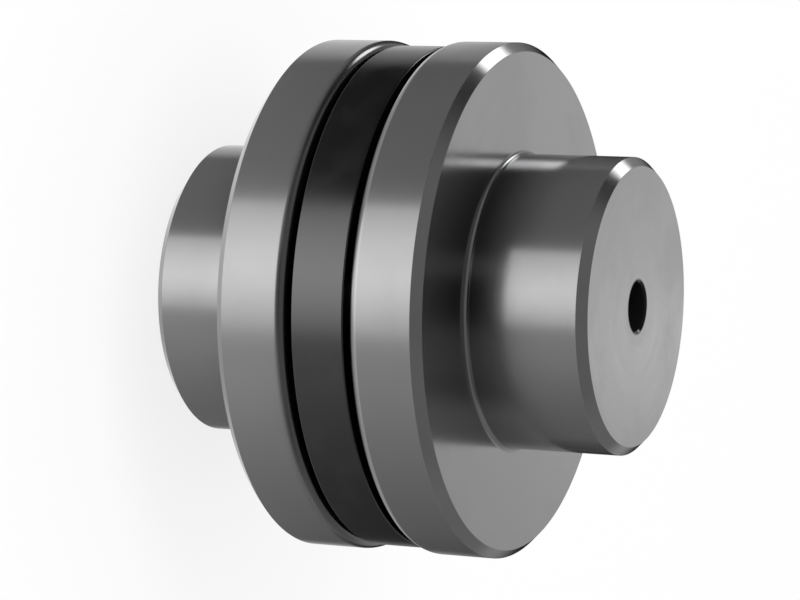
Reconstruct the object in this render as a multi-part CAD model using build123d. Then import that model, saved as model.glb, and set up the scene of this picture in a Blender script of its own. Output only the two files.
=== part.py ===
from build123d import *
import math
import os

# Pin-and-disc elastic shaft coupling, in millimetres. The shaft axis is +Z and the origin is the
# centre of the lower hub's end face, on which the coupling stands. Two equal hubs face each other
# across a rubber disc. Each hub's drive pins reach through the disc's steel-lined holes, so torque
# passes from hub to hub through the rubber between neighbouring pins.

# Hub: one turned piece, a flange with a boss and a plain pilot bore
flange_diameter = 105.0
flange_thickness = 15.0
boss_diameter = 60.0
boss_length = 25.0
pilot_bore = 10.0
edge_chamfer = 1.8          # on the flange's outer rim and the boss's end
inner_rim_radius = 2.0      # the flange's rim is rounded where it faces the disc
root_radius = 1.0           # tool radius where the boss meets the flange
bore_chamfer = 0.4          # light deburring at both ends of the pilot bore

# Elastic disc, held clear of both flanges by the pins' collars
disc_inset = 1.0            # the disc's rim lies this far inside the flanges' rims
disc_thickness = 11.0
disc_bore = 40.0            # room for the two shafts' ends
disc_edge_radius = 0.3
face_gap = 1.3              # flange face to disc face, on each side

# Drive pins, pressed into the hubs, alternately from below and above
pins_per_hub = 6
pin_rim_distance = 13.5     # pin axis to the flange's rim
pin_diameter = 8.0
pin_seat = 10.0             # length pressed into the flange
pin_hole_spare = 1.0        # space left below the pressed end
pin_end_chamfer = 0.8
collar_width = 2.2          # how far a pin's collar stands out all round the pin

# Steel sleeves lining the disc's holes
sleeve_wall = 1.7
sleeve_clearance = 0.05     # pin to sleeve, on the radius
sleeve_chamfer = 0.3

# Heights and sizes that follow from the values above
hub_length = boss_length + flange_thickness
disc_base = hub_length + face_gap
disc_top = disc_base + disc_thickness
overall_length = disc_top + face_gap + hub_length
disc_diameter = flange_diameter - 2 * disc_inset
pin_circle_radius = flange_diameter / 2 - pin_rim_distance
sleeve_bore = pin_diameter + 2 * sleeve_clearance
sleeve_diameter = sleeve_bore + 2 * sleeve_wall
collar_diameter = pin_diameter + 2 * collar_width
pin_step = 360.0 / pins_per_hub


def turned(profile):
    """A solid of revolution about the shaft axis from (radius, height) points."""
    corners = [(radius, 0, height) for radius, height in profile]
    face = make_face(Polyline(*corners, close=True))
    return revolve(face, axis=Axis.Z)


def round_edge(solid, edge_radius, height, rounding):
    """The solid with its circular edge of this radius, at this height, rounded."""
    picked = [
        edge for edge in solid.edges().filter_by(GeomType.CIRCLE)
        if abs(edge.radius - edge_radius) < 1e-6 and abs(edge.center().Z - height) < 1e-6
    ]
    return fillet(picked, rounding)


def on_pin_circle(angle, height):
    """The place at a height on the pin circle, at an angle in degrees round the shaft."""
    turn = math.radians(angle)
    return Pos(pin_circle_radius * math.cos(turn), pin_circle_radius * math.sin(turn), height)


def make_hub(first_pin_angle):
    """One hub standing on its boss, with blind pin holes in the flange's far face."""
    flange_radius = flange_diameter / 2
    boss_radius = boss_diameter / 2
    bore_radius = pilot_bore / 2
    hub = turned([
        (bore_radius + bore_chamfer, 0),
        (boss_radius - edge_chamfer, 0),
        (boss_radius, edge_chamfer),
        (boss_radius, boss_length),
        (flange_radius - edge_chamfer, boss_length),
        (flange_radius, boss_length + edge_chamfer),
        (flange_radius, hub_length),
        (bore_radius + bore_chamfer, hub_length),
        (bore_radius, hub_length - bore_chamfer),
        (bore_radius, bore_chamfer),
    ])
    hub = round_edge(hub, boss_radius, boss_length, root_radius)
    hub = round_edge(hub, flange_radius, hub_length, inner_rim_radius)
    hole_depth = pin_seat + pin_hole_spare
    for index in range(pins_per_hub):
        place = on_pin_circle(first_pin_angle + index * pin_step, hub_length - hole_depth)
        hole = Cylinder(pin_diameter / 2, hole_depth, align=(Align.CENTER, Align.CENTER, Align.MIN))
        hub -= place * hole
    return hub


def make_disc():
    """The rubber disc at its height, with a centre hole and a hole for every sleeve."""
    base = (Align.CENTER, Align.CENTER, Align.MIN)
    disc = Cylinder(disc_diameter / 2, disc_thickness, align=base)
    rim_edges = disc.edges().filter_by(GeomType.CIRCLE)
    disc = fillet(rim_edges, disc_edge_radius)
    disc -= Cylinder(disc_bore / 2, disc_thickness, align=base)
    for index in range(2 * pins_per_hub):
        hole = Cylinder(sleeve_diameter / 2, disc_thickness, align=base)
        disc -= on_pin_circle(index * pin_step / 2, 0) * hole
    return Pos(0, 0, disc_base) * disc


def make_pin():
    """A drive pin with its collar's underside at height 0: the seat goes down, the drive end up."""
    pin_radius = pin_diameter / 2
    collar_radius = collar_diameter / 2
    drive_end = face_gap + disc_thickness
    return turned([
        (0, -pin_seat),
        (pin_radius - pin_end_chamfer, -pin_seat),
        (pin_radius, pin_end_chamfer - pin_seat),
        (pin_radius, 0),
        (collar_radius, 0),
        (collar_radius, face_gap),
        (pin_radius, face_gap),
        (pin_radius, drive_end - pin_end_chamfer),
        (pin_radius - pin_end_chamfer, drive_end),
        (0, drive_end),
    ])


def make_sleeve():
    """A plain steel sleeve as long as the disc is thick, chamfered inside for the pin."""
    bore_radius = sleeve_bore / 2
    outer_radius = sleeve_diameter / 2
    return turned([
        (bore_radius + sleeve_chamfer, 0),
        (outer_radius, 0),
        (outer_radius, disc_thickness),
        (bore_radius + sleeve_chamfer, disc_thickness),
        (bore_radius, disc_thickness - sleeve_chamfer),
        (bore_radius, sleeve_chamfer),
    ])


# A half turn about X sends a piece of the lower half to its place in the upper half
flip_over = Pos(0, 0, overall_length) * Rot(180, 0, 0)

nodes = {
    "lower_hub": make_hub(0),
    "upper_hub": flip_over * make_hub(pin_step / 2),
    "elastic_disc": make_disc(),
}

for index in range(pins_per_hub):
    lower_place = on_pin_circle(index * pin_step, hub_length)
    upper_place = flip_over * on_pin_circle((index + 0.5) * pin_step, hub_length)
    nodes[f"lower_pin_{index + 1}"] = lower_place * make_pin()
    nodes[f"upper_pin_{index + 1}"] = upper_place * make_pin()

for index in range(2 * pins_per_hub):
    sleeve_place = on_pin_circle(index * pin_step / 2, disc_base)
    nodes[f"sleeve_{index + 1}"] = sleeve_place * make_sleeve()

os.makedirs("parts", exist_ok=True)
for name, solid in nodes.items():
    export_step(solid, f"parts/{name}.step")
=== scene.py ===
import math

import bpy
from mathutils import Matrix, Vector
from mathutils.geometry import delaunay_2d_cdt


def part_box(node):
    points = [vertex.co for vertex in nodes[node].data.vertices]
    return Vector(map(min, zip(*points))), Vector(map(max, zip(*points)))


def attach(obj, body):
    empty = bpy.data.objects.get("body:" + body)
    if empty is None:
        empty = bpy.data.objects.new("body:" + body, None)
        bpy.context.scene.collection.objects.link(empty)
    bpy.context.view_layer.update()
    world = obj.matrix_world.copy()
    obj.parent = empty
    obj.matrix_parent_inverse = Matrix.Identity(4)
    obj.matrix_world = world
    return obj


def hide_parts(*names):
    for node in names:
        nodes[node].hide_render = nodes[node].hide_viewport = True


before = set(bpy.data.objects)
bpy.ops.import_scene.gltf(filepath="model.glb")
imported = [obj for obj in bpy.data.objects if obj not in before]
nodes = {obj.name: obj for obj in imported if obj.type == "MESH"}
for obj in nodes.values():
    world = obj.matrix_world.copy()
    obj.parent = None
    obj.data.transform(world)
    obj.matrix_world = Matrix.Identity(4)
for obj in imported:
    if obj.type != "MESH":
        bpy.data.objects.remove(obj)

scene = bpy.context.scene
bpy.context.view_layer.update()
millimetre = 0.001
tolerance = 1e-9                         # in metres; points nearer than this are one


def boxMiddle(node):
    low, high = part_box(node)
    return (low + high) / 2


discMiddle = boxMiddle("elastic_disc").z
print("frame loaded:", len(nodes), "pieces")


class Signal:
    # one output socket; an expression on it adds Math nodes to its tree
    def __init__(self, bench, socket):
        self.bench, self.socket = bench, socket

    def math(self, operation, first, second):
        return self.bench.add("ShaderNodeMath", {"operation": operation}, {0: first, 1: second})

    def __add__(self, other):
        return self.math("ADD", self, other)

    def __radd__(self, other):
        return self.math("ADD", other, self)

    def __sub__(self, other):
        return self.math("SUBTRACT", self, other)

    def __rsub__(self, other):
        return self.math("SUBTRACT", other, self)

    def __mul__(self, other):
        return self.math("MULTIPLY", self, other)

    def __rmul__(self, other):
        return self.math("MULTIPLY", other, self)

    def __truediv__(self, other):
        return self.math("DIVIDE", self, other)

    def __rtruediv__(self, other):
        return self.math("DIVIDE", other, self)

    def __neg__(self):
        return self.math("MULTIPLY", self, -1.0)


class Bench:
    # the node tree that is being built
    def __init__(self, tree):
        self.tree = tree
        tree.nodes.clear()

    def add(self, kind, settings=None, sockets=None, out=0):
        # settings go first, because they decide which sockets count; a tuple in out gives a list
        node = self.tree.nodes.new(kind)
        for name, value in (settings or {}).items():
            if name == "stops":
                self.setStops(node.color_ramp.elements, value)
            else:
                setattr(node, name, value)
        for name, value in (sockets or {}).items():
            if isinstance(value, Signal):
                self.tree.links.new(value.socket, node.inputs[name])
            else:
                node.inputs[name].default_value = value
        if isinstance(out, tuple):
            return [Signal(self, node.outputs[name]) for name in out]
        return Signal(self, node.outputs[out]) if node.outputs else None

    def setStops(self, elements, stops):
        while len(elements) > 1:
            elements.remove(elements[-1])
        for index, (position, grey) in enumerate(stops):
            element = elements[0] if index == 0 else elements.new(position)
            element.position = position
            element.color = (grey, grey, grey, 1.0)

    def split(self, vector):
        return self.add("ShaderNodeSeparateXYZ", None, {0: vector}, out=(0, 1, 2))

    def join(self, x, y, z):
        return self.add("ShaderNodeCombineXYZ", None, {0: x, 1: y, 2: z})

    def ease(self, value, start, end):
        # 0 before start, 1 past end, a smooth step between; start may be the larger
        return self.add("ShaderNodeMapRange", {"interpolation_type": "SMOOTHSTEP"},
                        {"Value": value, "From Min": start, "From Max": end})

    def noise(self, vector, scale, detail=2.0, roughness=0.5):
        return self.add("ShaderNodeTexNoise", {"noise_dimensions": "3D"}, {
            "Vector": vector, "Scale": scale, "Detail": detail, "Roughness": roughness})

    def blend(self, share, first, second):
        return self.add("ShaderNodeMix", {"data_type": "RGBA"},
                        {"Factor": share, 6: (*first, 1.0), 7: (*second, 1.0)}, out=2)

    def bump(self, height, distance):
        return self.add("ShaderNodeBump", None,
                        {"Strength": 1.0, "Distance": distance, "Height": height})


def newMaterial(name):
    material = bpy.data.materials.new(name)
    material.use_nodes = True
    return material, Bench(material.node_tree)


def finishMaterial(bench, shader):
    bench.add("ShaderNodeOutputMaterial", None, {"Surface": shader})


noiseMiddle = 0.5                        # what a noise varies around

steelLook = dict(
    light=(0.372, 0.372, 0.374),         # bare steel
    dark=(0.335, 0.336, 0.34),           # where oil has dulled it
    wallMetallic=0.775,                  # the round walls are left duller
    faceMetallic=0.985,                  # than the flat faces
    flatFrom=(0.08, 0.45),               # how upright a face is where it starts to count as flat
    rimFrom=(40 * millimetre, 45 * millimetre),      # radius past which a wall is the flange's rim
    brightRoot=(22 * millimetre, 38 * millimetre),   # the boss is bright at its root, then dull
    gapPaintedShade=0.45,                      # painted shade: how much the gap darkens what faces up there
    gapShadeFacing=(0.12, 0.5),
    gapShadeReach=(8.9 * millimetre, 7.8 * millimetre),   # measured from the disc's middle
    borePaintedShade=0.9,                         # painted shade: how much the bore's wall is darkened
    boreShadeReach=(5.9 * millimetre, 5.4 * millimetre),
    roughness=0.15,
    climb=0.73,                          # share of height in the track that the tool lines follow
    feed=0.16 * millimetre,              # spacing of the finest tool lines
    feedHeight=0.0008 * millimetre,
    feedWander=0.5,                      # how much the lines change round the piece
    feedRoughness=0.03,
    chatter=1.5 * millimetre,            # slower waves left by the lathe
    chatterHeight=0.0017 * millimetre,
    chatterWander=0.9,
    chatterRoughness=0.03,
    chatterTone=0.4,
    smudge=22 * millimetre,              # size of the oil and hand marks
    smudgeFrom=(0.42, 0.66),
    smudgeRoughness=0.035,
    smudgeTone=0.6,
)


def makeTurnedSteel():
    look = steelLook
    material, bench = newMaterial("turnedSteel")
    place = bench.add("ShaderNodeTexCoord", out="Object")
    x, y, z = bench.split(place)
    radius = bench.add("ShaderNodeVectorMath", {"operation": "LENGTH"},
                       {0: bench.join(x, y, 0.0)}, out="Value")
    acrossX, acrossY = x / radius, y / radius

    # tool lines: the track grows along every turned surface, flat or round
    track = radius + look["climb"] * z
    around = look["feedWander"]
    lines = bench.noise(
        bench.join(acrossX * around, acrossY * around, track / look["feed"]), scale=1.0)
    around = look["chatterWander"]
    waves = bench.noise(
        bench.join(acrossX * around, acrossY * around, track / look["chatter"]),
        scale=1.0, detail=1.0)
    smudges = bench.noise(place, 1 / look["smudge"], detail=4.0, roughness=0.55)
    worn = bench.ease(smudges, *look["smudgeFrom"])

    # painted shade in the gap between the hubs and the disc, and down the bore
    fromMiddle = bench.add("ShaderNodeMath", {"operation": "ABSOLUTE"}, {0: z - discMiddle})
    upright = bench.split(bench.add("ShaderNodeNewGeometry", out="Normal"))[2]
    gapShade = (bench.ease(upright, *look["gapShadeFacing"])
              * bench.ease(fromMiddle, *look["gapShadeReach"]))
    boreShade = bench.ease(radius, *look["boreShadeReach"])
    # the share of the colour left by the painted shade in the gap and the bore
    paintedShadeScale = (1 - gapShade * look["gapPaintedShade"]) * (1 - boreShade * look["borePaintedShade"])
    tone = look["smudgeTone"] * worn + look["chatterTone"] * waves
    colour = bench.blend(tone, look["light"], look["dark"])
    colour = bench.add("ShaderNodeVectorMath", {"operation": "SCALE"}, {0: colour, "Scale": paintedShadeScale})

    # flat faces and the boss's root are bright, the other walls dull
    flat = bench.ease(upright * upright, *look["flatFrom"])
    onRim = bench.ease(radius, *look["rimFrom"])
    outOnBoss = bench.ease(fromMiddle, *look["brightRoot"])
    dull = (1 - flat) * (onRim + (1 - onRim) * outOnBoss)
    metallic = look["faceMetallic"] - dull * (look["faceMetallic"] - look["wallMetallic"])

    roughness = (look["roughness"] + (lines - noiseMiddle) * look["feedRoughness"]
                 + (waves - noiseMiddle) * look["chatterRoughness"]
                 + worn * look["smudgeRoughness"])
    height = lines * (look["feedHeight"] / look["chatterHeight"]) + waves
    shader = bench.add("ShaderNodeBsdfPrincipled", None, {
        "Base Color": colour, "Metallic": metallic, "Roughness": roughness,
        "Normal": bench.bump(height, look["chatterHeight"])})
    finishMaterial(bench, shader)
    return material


rubberLook = dict(
    light=(0.0042, 0.0042, 0.0044), dark=(0.0024, 0.0024, 0.0025),
    roughness=0.17,
    gloss=2.01,                          # the surface's index of refraction
    grain=0.22 * millimetre,
    grainHeight=0.0016 * millimetre,
    grainRoughness=0.05,
    flow=9 * millimetre,                 # slow unevenness from the mould
    flowFrom=(0.4, 0.7),
    flowRoughness=0.05,
    flowTone=0.5, grainTone=0.5,
)


def makeBlackRubber():
    look = rubberLook
    material, bench = newMaterial("blackRubber")
    place = bench.add("ShaderNodeTexCoord", out="Object")
    grain = bench.noise(place, 1 / look["grain"], detail=3.0, roughness=0.6)
    flow = bench.noise(place, 1 / look["flow"], detail=3.0)
    bloom = bench.ease(flow, *look["flowFrom"])
    tone = look["flowTone"] * bloom + look["grainTone"] * grain
    colour = bench.blend(tone, look["dark"], look["light"])
    roughness = (look["roughness"] + bloom * look["flowRoughness"]
                 + (grain - noiseMiddle) * look["grainRoughness"])
    shader = bench.add("ShaderNodeBsdfPrincipled", None, {
        "Base Color": colour, "Roughness": roughness, "IOR": look["gloss"],
        "Normal": bench.bump(grain, look["grainHeight"])})
    finishMaterial(bench, shader)
    return material


# the pins are ground bright, the sleeves are plainer and a little warm
pinLook = dict(
    name="groundSteel", light=(0.5, 0.5, 0.51), dark=(0.42, 0.42, 0.43),
    metallic=0.95, roughness=0.16,
    lap=0.3 * millimetre, lapHeight=0.0006 * millimetre, lapRoughness=0.06, lapTone=0.5,
    around=900,                          # how fast a grinding line changes round the pin
    stain=4 * millimetre, stainRoughness=0.08, stainTone=0.5,
)
sleeveLook = dict(
    pinLook, name="sleeveSteel", light=(0.4, 0.39, 0.38), dark=(0.31, 0.3, 0.3), roughness=0.3)


def makeGroundSteel(look):
    material, bench = newMaterial(look["name"])
    place = bench.add("ShaderNodeTexCoord", out="Object")
    x, y, z = bench.split(place)
    laps = bench.noise(
        bench.join(x * look["around"], y * look["around"], z / look["lap"]), scale=1.0)
    stain = bench.noise(place, 1 / look["stain"], detail=3.0)
    tone = look["lapTone"] * laps + look["stainTone"] * stain
    colour = bench.blend(tone, look["dark"], look["light"])
    roughness = (look["roughness"] + (laps - noiseMiddle) * look["lapRoughness"]
                 + (stain - noiseMiddle) * look["stainRoughness"])
    shader = bench.add("ShaderNodeBsdfPrincipled", None, {
        "Base Color": colour, "Metallic": look["metallic"], "Roughness": roughness,
        "Normal": bench.bump(laps, look["lapHeight"])})
    finishMaterial(bench, shader)
    return material


turnedSteel = makeTurnedSteel()
blackRubber = makeBlackRubber()
groundSteel = makeGroundSteel(pinLook)
sleeveSteel = makeGroundSteel(sleeveLook)
print("finishes made")


def roundedProfile(corners, steps):
    # corners are (radius, height, rounding); each becomes an arc of points with outward normals
    arcs = []
    count = len(corners)
    for index in range(count):
        before, here, after = (
            Vector(corners[(index + shift) % count][:2]) for shift in (-1, 0, 1))
        rounding = corners[index][2]
        into, away = (here - before).normalized(), (after - here).normalized()
        normalIn, normalOut = Vector((into.y, -into.x)), Vector((away.y, -away.x))
        turn = into.angle_signed(away, 0.0)          # clockwise counts as positive here
        side = 1.0 if turn < 0 else -1.0             # outside corner or inside corner
        reach = rounding * math.tan(abs(turn) / 2)
        centre = here - into * reach - normalIn * rounding * side
        arc = []
        for step in range(steps + 1):
            normal = normalIn.slerp(normalOut, step / steps)
            arc.append((centre + normal * rounding * side, normal))
        arcs.append(arc)
    return arcs


def pointOnRing(radius, angle, height):
    return (radius * math.cos(angle), radius * math.sin(angle), height)


def turnPiece(name, corners, shape, drilled):
    # revolves the corners about the shaft axis; drilled says which flats have holes in them
    steps, segments = shape["arcSteps"], shape["segments"]
    arcs = roundedProfile(corners, steps)
    profile = [entry for arc in arcs for entry in arc]
    count = len(profile)
    angles = [2 * math.pi * index / segments for index in range(segments + 1)]
    verts, faces, cornerNormals = [], [], []
    for point, _ in profile:
        verts.extend(pointOnRing(point.x, angle, point.y) for angle in angles[:-1])
    for index in range(count):
        following = (index + 1) % count
        (start, startNormal), (end, endNormal) = profile[index], profile[following]
        arc, place = divmod(index, steps + 1)
        isDrilled = place == steps and arc in drilled["flats"]     # filled in further down
        if isDrilled or (start - end).length < tolerance:
            continue
        here, there = index * segments, following * segments
        for step in range(segments):
            nextStep = (step + 1) % segments
            faces.append((here + step, here + nextStep, there + nextStep, there + step))
            for normal, turn in ((startNormal, step), (startNormal, step + 1),
                                 (endNormal, step + 1), (endNormal, step)):
                cornerNormals.append(pointOnRing(normal.x, angles[turn], normal.y))
    for flat in drilled["flats"]:
        start, startNormal = arcs[flat][-1]
        rings = [(flat * (steps + 1) + steps) * segments,
                 (flat + 1) % len(arcs) * (steps + 1) * segments]
        fillDrilledFlat(
            verts, faces, cornerNormals, rings, segments, start.y, startNormal.y, drilled)
    addHoleWalls(verts, faces, cornerNormals, drilled)

    mesh = bpy.data.meshes.new(name)
    mesh.from_pydata(verts, [], faces)
    mesh.polygons.foreach_set("use_smooth", [True] * len(faces))
    mesh.update()
    mesh.normals_split_custom_set(cornerNormals)
    piece = bpy.data.objects.new(name, mesh)
    scene.collection.objects.link(piece)
    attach(piece, "root")
    return piece


def holeCentre(drilled, angle):
    return Vector(pointOnRing(drilled["circle"], angle, 0)[:2])


def holeOutline(drilled, angle):
    centre, sides = holeCentre(drilled, angle), drilled["sides"]
    return [
        centre + Vector(pointOnRing(drilled["hole"], 2 * math.pi * side / sides, 0)[:2])
        for side in range(sides)
    ]


def fillDrilledFlat(verts, faces, cornerNormals, rings, segments, height, up, drilled):
    # a flat ring with round holes, between two rings of vertices that are already there
    flat = [Vector(verts[start + step][:2]) for start in rings for step in range(segments)]
    known = [start + step for start in rings for step in range(segments)]
    edges = [(base + step, base + (step + 1) % segments)
             for base in (0, segments) for step in range(segments)]
    sides = drilled["sides"]
    for angle in drilled["angles"]:
        base = len(flat)
        flat.extend(holeOutline(drilled, angle))
        known.extend(len(verts) + side for side in range(sides))
        verts.extend((spot.x, spot.y, height) for spot in flat[base:])
        edges.extend((base + side, base + (side + 1) % sides) for side in range(sides))
    spots, _, triangles, origins, _, _ = delaunay_2d_cdt(flat, edges, [], 0, tolerance)

    # what lies inside the ring's bore or inside a hole is left out
    inner, outer = sorted((flat[0].length, flat[segments].length))
    innerClear = inner * math.cos(math.pi / segments)
    holeClear = drilled["hole"] * math.cos(math.pi / sides)
    centres = [holeCentre(drilled, angle) for angle in drilled["angles"]]
    for triangle in triangles:
        a, b, c = (spots[corner] for corner in triangle)
        middle = (a + b + c) / 3
        if not innerClear < middle.length < outer:
            continue
        if any((middle - centre).length < holeClear for centre in centres):
            continue
        corners = [known[origins[corner][0]] for corner in triangle]
        if ((b - a).cross(c - a) > 0) != (up > 0):
            corners.reverse()
        faces.append(tuple(corners))
        cornerNormals.extend([(0, 0, up)] * 3)


def addHoleWalls(verts, faces, cornerNormals, drilled):
    sides = drilled["sides"]
    for angle in drilled["angles"]:
        outline, middle = holeOutline(drilled, angle), holeCentre(drilled, angle)
        first = len(verts)
        for height in (drilled["low"], drilled["high"]):
            verts.extend((spot.x, spot.y, height) for spot in outline)
        for side in range(sides):
            following = (side + 1) % sides
            faces.append((first + following, first + side,
                          first + sides + side, first + sides + following))
            for corner in (following, side, side, following):
                inward = (middle - outline[corner]).normalized()
                cornerNormals.append((inward.x, inward.y, 0))
        if drilled["bottom"]:            # a blind hole
            height, up = drilled["bottom"]
            corners = list(range(len(verts), len(verts) + sides))
            verts.extend((spot.x, spot.y, height) for spot in outline)
            faces.append(tuple(corners if up > 0 else reversed(corners)))
            cornerNormals.extend([(0, 0, up)] * sides)


def pinAngles(prefix, count):
    middles = [boxMiddle(f"{prefix}_{index + 1}") for index in range(count)]
    return [math.atan2(middle.y, middle.x) for middle in middles]


# lengths in millimetres
hubShape = dict(
    bossDiameter=60.0, bossLength=25.0, bore=10.0,
    chamfer=1.8, innerRimRadius=2.0, rootRadius=1.0, boreChamfer=0.4,
    edgeBreak=0.12,                      # the hair of rounding left on every turned edge
    boreEdgeBreak=0.05,
    pinHole=8.0, pinHoleDepth=11.0, pins=6, pinHoleSides=48,
    segments=360, arcSteps=9,
)


def makeHub(node, pins):
    # drawn standing on its boss; the upper hub is then turned over
    shape = hubShape
    low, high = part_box(node)
    flange, length = high.x / millimetre, (high.z - low.z) / millimetre
    boss, bore, step = shape["bossDiameter"] / 2, shape["bore"] / 2, shape["bossLength"]
    cut, deburr = shape["chamfer"], shape["boreChamfer"]
    edge, fine = shape["edgeBreak"], shape["boreEdgeBreak"]
    corners = [
        (bore + deburr, 0, fine), (boss - cut, 0, edge), (boss, cut, edge),
        (boss, step, shape["rootRadius"]), (flange - cut, step, edge),
        (flange, step + cut, edge), (flange, length, shape["innerRimRadius"]),
        (bore + deburr, length, fine), (bore, length - deburr, fine), (bore, deburr, fine),
    ]
    corners = [tuple(value * millimetre for value in corner) for corner in corners]
    drilledFace = 6                      # the corner where the face with the pin holes starts
    depth = shape["pinHoleDepth"] * millimetre
    if node == "upper_hub":
        corners = [(radius, high.z - height, rounding)
                   for radius, height, rounding in reversed(corners)]
        drilledFace = len(corners) - 2 - drilledFace
        span = (low.z, low.z + depth)
        bottom = (span[1], -1.0)
    else:
        span = (high.z - depth, high.z)
        bottom = (span[0], 1.0)
    pinHoles = dict(
        flats=[drilledFace], circle=boxMiddle(pins + "_1").xy.length,
        hole=shape["pinHole"] / 2 * millimetre, angles=pinAngles(pins, shape["pins"]),
        sides=shape["pinHoleSides"], low=span[0], high=span[1], bottom=bottom)
    hub = turnPiece(node + "_turned", corners, shape, pinHoles)
    hub.data.materials.append(turnedSteel)
    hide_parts(node)


# lengths in millimetres
discShape = dict(
    bore=40.0, edgeRadius=0.3,
    boreEdgeBreak=0.02,
    sleeveHole=11.5, sleeves=12, sleeveHoleSides=64,
    segments=360, arcSteps=9,
)


def makeDisc():
    shape = discShape
    low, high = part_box("elastic_disc")
    rim, bore = high.x, shape["bore"] / 2 * millimetre
    edge, hair = shape["edgeRadius"] * millimetre, shape["boreEdgeBreak"] * millimetre
    corners = [(bore, low.z, hair), (rim, low.z, edge), (rim, high.z, edge), (bore, high.z, hair)]
    sleeveHoles = dict(
        flats=[0, 2], circle=boxMiddle("sleeve_1").xy.length,
        hole=shape["sleeveHole"] / 2 * millimetre, angles=pinAngles("sleeve", shape["sleeves"]),
        sides=shape["sleeveHoleSides"], low=low.z, high=high.z, bottom=None)
    disc = turnPiece("elastic_disc_moulded", corners, shape, sleeveHoles)
    disc.data.materials.append(blackRubber)
    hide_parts("elastic_disc")


makeHub("lower_hub", "lower_pin")
makeHub("upper_hub", "upper_pin")
makeDisc()
print("hubs and disc turned")

finishes = {"lower_pin": groundSteel, "upper_pin": groundSteel, "sleeve": sleeveSteel}
for name, node in nodes.items():
    finish = finishes.get(name.rpartition("_")[0])
    if finish:
        for materialSlot in node.material_slots:
            materialSlot.material = finish
print("pins and sleeves dressed")


# What the steel and the rubber mirror. Rings are (compass, brightness) in degrees: 0 is straight
# behind the camera and the angle grows towards -X. Heights are degrees above the level.
studioLook = dict(
    plainLevel=0.9,                      # what every matt surface and the floor see all round
    ringBelow=[
        (-180, 0.83), (-172, 0.58), (-164, 0.30), (-156, 0.06), (-140, 0.06), (-115, 0.08),
        (-90, 0.12), (-65, 0.20), (-45, 0.29), (-27, 0.34), (-20, 0.48), (-17, 0.80),
        (-12, 1.06), (-6, 1.33), (1, 1.56), (8, 1.66), (16, 1.56), (24, 1.38), (31, 1.16),
        (38, 0.89), (41, 0.25), (46, 0.07), (54, 0.015), (70, 0.0), (100, 0.0), (127, 0.0),
        (133, 0.30), (141, 0.49), (152, 0.62), (165, 0.77), (180, 0.83),
    ],
    ringAbove=[
        (-180, 0.64), (-176, 0.55), (-165, 0.42), (-140, 0.25), (-100, 0.30), (-75, 0.12),
        (-50, 0.16), (-30, 0.14), (-15, 0.02), (0, 0.0), (13, 0.02), (22, 0.15), (30, 0.12),
        (38, 0.02), (60, 0.02), (100, 0.03), (135, 0.08), (155, 0.25), (165, 0.50),
        (175, 0.67), (180, 0.64),
    ],
    peak=2.0,                            # the ramps hold shares of this brightness
    changeOver=(-12.0, 4.0),             # the ring below gives way to the ring above
    lift=0.47, liftHeights=(-33.0, -24.8),             # light thrown up by the floor
    backFrom=(0.58, 0.68), backDark=(-23.6, -20.6),    # the lower ring goes dark at the back
    sink=0.4, sinkHeights=(38.0, 64.0),                # and dims this far below the level
    glow=0.17, glowFrom=(0.75, 0.9),                   # a faint glow at the back
    glowFoot=(-4.0, 8.0), glowTop=(22.2, 19.4),
    overhead=0.24, overheadHeights=(30.0, 52.0),
    # (compass, height, radius of the soft edge, radius of the full core, strength)
    spots=[(134, 15, 11, 7, 3.6), (180.6, 19.6, 1.8, 0.4, 0.48)],
)


def compassRing(bench, compass, ring):
    peak = studioLook["peak"]
    stops = [(degrees / 360 + 0.5, brightness / peak) for degrees, brightness in ring]
    return bench.add("ShaderNodeValToRGB", {"stops": stops}, {"Fac": compass}) * peak


def makeStudioWorld():
    look = studioLook
    world = bpy.data.worlds.new("studio")
    scene.world = world
    world.use_nodes = True
    world.cycles.sampling_method = "NONE"
    bench = Bench(world.node_tree)
    direction = bench.add("ShaderNodeTexCoord", out="Generated")
    x, y, z = bench.split(direction)
    heading = bench.add("ShaderNodeMath", {"operation": "ARCTAN2"}, {0: -x, 1: -y})
    compass = heading / (2 * math.pi) + 0.5
    rise = bench.add("ShaderNodeMath", {"operation": "ARCSINE"}, {0: z}) * (180 / math.pi)
    below = compassRing(bench, compass, look["ringBelow"])
    above = compassRing(bench, compass, look["ringAbove"])

    lowest, highest = look["liftHeights"]
    lift = bench.add("ShaderNodeMapRange", None, {
        "Value": rise, "From Min": lowest, "From Max": highest,
        "To Min": look["lift"], "To Max": 0.0})
    behind = bench.ease(y, *look["backFrom"]) * bench.ease(rise, *look["backDark"])
    sunk = bench.ease(-rise, *look["sinkHeights"]) * look["sink"]
    below = (below * (1 - behind) + lift) * (1 - sunk)

    glow = (bench.ease(y, *look["glowFrom"]) * bench.ease(rise, *look["glowTop"])
            * bench.ease(rise, *look["glowFoot"]) * look["glow"])
    upper = bench.ease(rise, *look["changeOver"])
    room = below * (1 - upper) + (above + glow) * upper
    overhead = bench.ease(rise, *look["overheadHeights"])
    room = room * (1 - overhead) + overhead * look["overhead"]
    for turn, height, softEdge, core, strength in look["spots"]:
        turn, height = math.radians(turn), math.radians(height)
        reach = math.cos(height)
        centre = (-math.sin(turn) * reach, -math.cos(turn) * reach, math.sin(height))
        facing = bench.add("ShaderNodeVectorMath", {"operation": "DOT_PRODUCT"},
                           {0: direction, 1: centre}, out="Value")
        edges = (math.cos(math.radians(softEdge)), math.cos(math.radians(core)))
        room = room + bench.ease(facing, *edges) * strength

    # only mirror-like rays see the room; all others see one plain level
    mirrored = bench.add("ShaderNodeLightPath", out="Is Glossy Ray")
    brightness = mirrored * room + (1 - mirrored) * look["plainLevel"]
    background = bench.add("ShaderNodeBackground", None,
                           {"Color": (1, 1, 1, 1), "Strength": brightness})
    bench.add("ShaderNodeOutputWorld", None, {"Surface": background})


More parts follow.
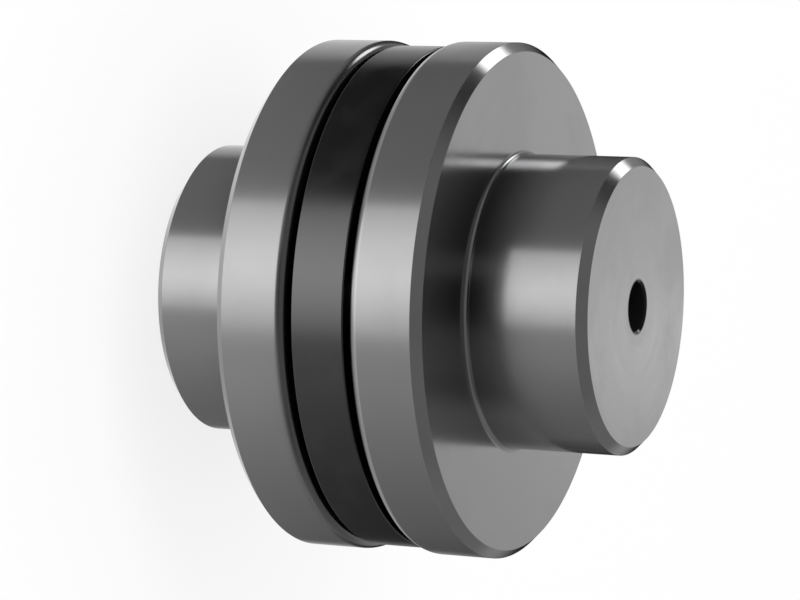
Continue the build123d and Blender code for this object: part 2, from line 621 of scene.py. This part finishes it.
floorLook = dict(
    size=30.0,
    drop=0.2 * millimetre,               # kept just clear of the lower hub's end face
    colour=(0.93, 0.93, 0.93),
    whiteShare=0.8,                      # pure white laid over the matt floor, to pale the shadow
)


def makeFloor():
    look = floorLook
    material, bench = newMaterial("paleFloor")
    material.cycles.emission_sampling = "NONE"
    matt = bench.add("ShaderNodeBsdfDiffuse", None, {"Color": (*look["colour"], 1.0)})
    white = bench.add("ShaderNodeEmission", None, {"Color": (1, 1, 1, 1), "Strength": 1.0})
    byCamera, byMirror, byGlass = bench.add("ShaderNodeLightPath", out=(
        "Is Camera Ray", "Is Glossy Ray", "Is Transmission Ray"))
    seen = byCamera + byMirror + byGlass
    shader = bench.add("ShaderNodeMixShader", None,
                       {0: seen * look["whiteShare"], 1: matt, 2: white})
    finishMaterial(bench, shader)
    half = look["size"] / 2
    mesh = bpy.data.meshes.new("floor")
    mesh.from_pydata(
        [(-half, -half, 0), (half, -half, 0), (half, half, 0), (-half, half, 0)],
        [], [(0, 1, 2, 3)])
    floor = bpy.data.objects.new("floor", mesh)
    mesh.materials.append(material)
    scene.collection.objects.link(floor)
    floor.location.z = -look["drop"]
    floor.visible_glossy = False         # the steel mirrors the studio's cards, not the floor


lampSetup = dict(place=(-0.75, -0.55, 1.1), aim=(0, 0, 0.04), size=0.9, power=6.0)


def makeLamp():
    setup = lampSetup
    light = bpy.data.lights.new("softbox", "AREA")
    light.shape, light.size, light.energy = "DISK", setup["size"], setup["power"]
    lamp = bpy.data.objects.new("softbox", light)
    scene.collection.objects.link(lamp)
    lamp.location = Vector(setup["place"])
    towards = Vector(setup["aim"]) - Vector(setup["place"])
    lamp.rotation_euler = towards.to_track_quat("-Z", "Y").to_euler()
    lamp.visible_glossy = False


cameraSetup = dict(
    lens=150.5, sensor=36.0, distance=0.6913, near=0.01, far=100.0,
    tilt=66.15, roll=92.81, aim=(0.000965, 0.0, 0.04154))


def makeCamera():
    setup = cameraSetup
    data = bpy.data.cameras.new("camera")
    data.lens, data.sensor_width = setup["lens"], setup["sensor"]
    data.clip_start, data.clip_end = setup["near"], setup["far"]
    camera = bpy.data.objects.new("camera", data)
    scene.collection.objects.link(camera)
    turn = (Matrix.Rotation(math.radians(setup["tilt"]), 4, "X")
            @ Matrix.Rotation(math.radians(setup["roll"]), 4, "Z"))
    back = turn @ Vector((0, 0, setup["distance"]))
    camera.matrix_world = Matrix.Translation(Vector(setup["aim"]) + back) @ turn
    scene.camera = camera


makeStudioWorld()
makeFloor()
makeLamp()
makeCamera()
scene.view_settings.view_transform = "Standard"
print("studio ready")
